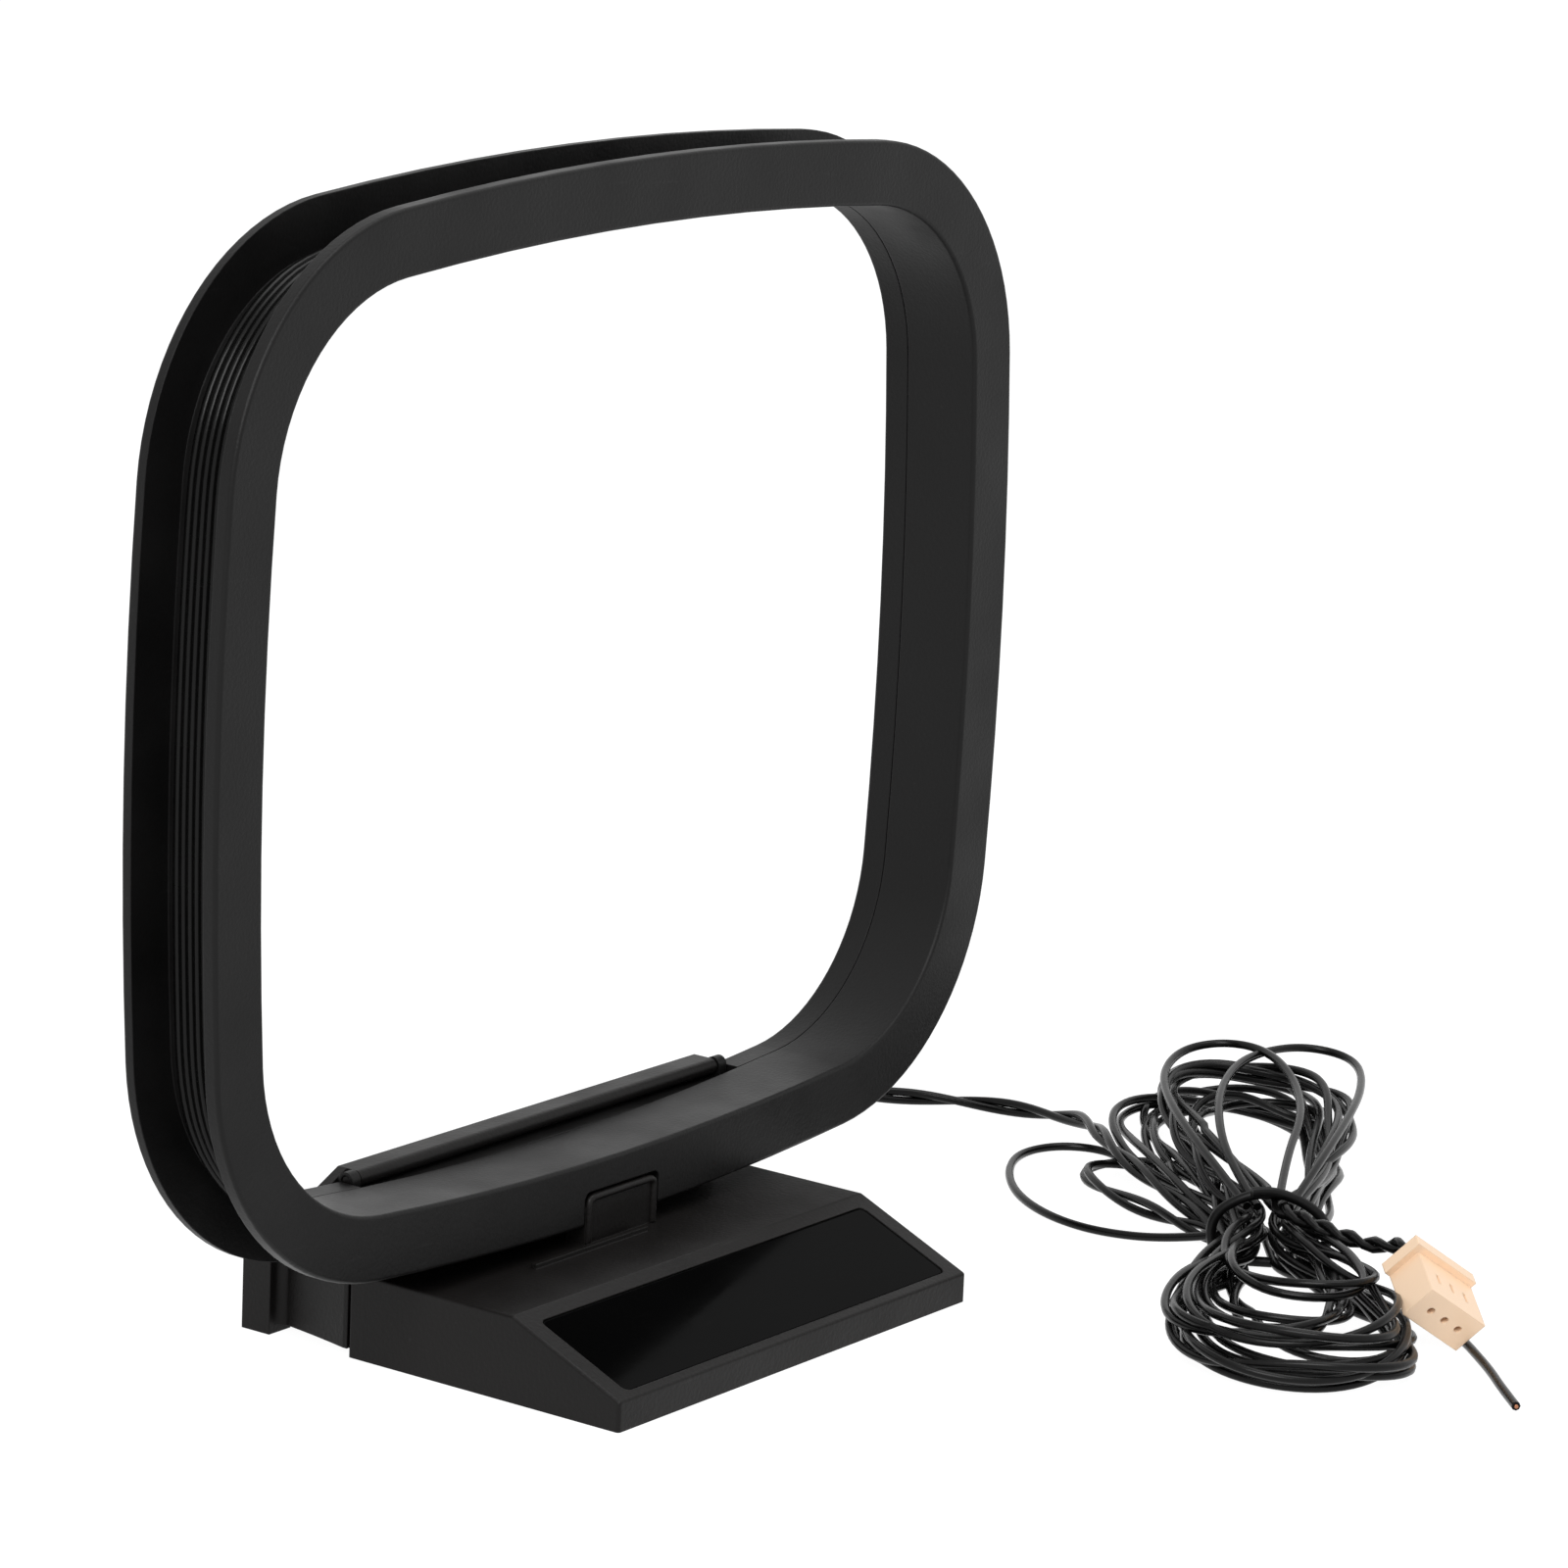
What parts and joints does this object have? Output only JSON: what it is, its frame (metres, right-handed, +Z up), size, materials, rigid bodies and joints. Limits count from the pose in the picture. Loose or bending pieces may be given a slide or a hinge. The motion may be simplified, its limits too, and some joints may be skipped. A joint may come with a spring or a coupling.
{
  "type": "radio loop antenna",
  "caption": "Rounded square wire loop in a two-part plastic frame, hinged on a low wedge stand, with a twisted lead, tied hank and small plug.",
  "frame": {"origin": "middle of the stand's footprint on the surface it stands on, centred under the loop from side to side", "axes": "+X to the right of someone who faces the sloped front, +Y to the rear through the loop's opening, +Z up"},
  "size_m": [0.1679, 0.1094, 0.1152],
  "materials": {
    "black_plastic": "fine matte moulding",
    "gloss_black": "polished",
    "wire_insulation": "soft sheen",
    "tie_black": "matte",
    "plug_beige": "satin moulding",
    "contact_metal": "tinned"
  },
  "bodies": {
    "stand": {"stand_base": "black_plastic", "front_plate": "gloss_black", "rear_bracket": "black_plastic", "lead": "wire_insulation", "lead_hank": "wire_insulation", "hank_tie": "tie_black", "slack_loop": "wire_insulation", "right_loop": "wire_insulation", "left_loop": "wire_insulation", "plug_tail": "wire_insulation", "stray_wire": "wire_insulation", "plug_housing": "plug_beige", "plug_contact_1": "contact_metal", "plug_contact_2": "contact_metal", "plug_contact_3": "contact_metal"},
    "loop": {"front_frame": "black_plastic", "rear_frame": "black_plastic", "winding": "wire_insulation", "front_tail": "wire_insulation", "rear_tail": "wire_insulation"}
  },
  "joints": [
    {"name": "loop_fold", "type": "hinge", "parent": "stand", "child": "loop", "pos_m": [0, 0.00945, 0.018], "axis": [-1, 0, 0], "range_deg": [0, 90]}
  ]
}
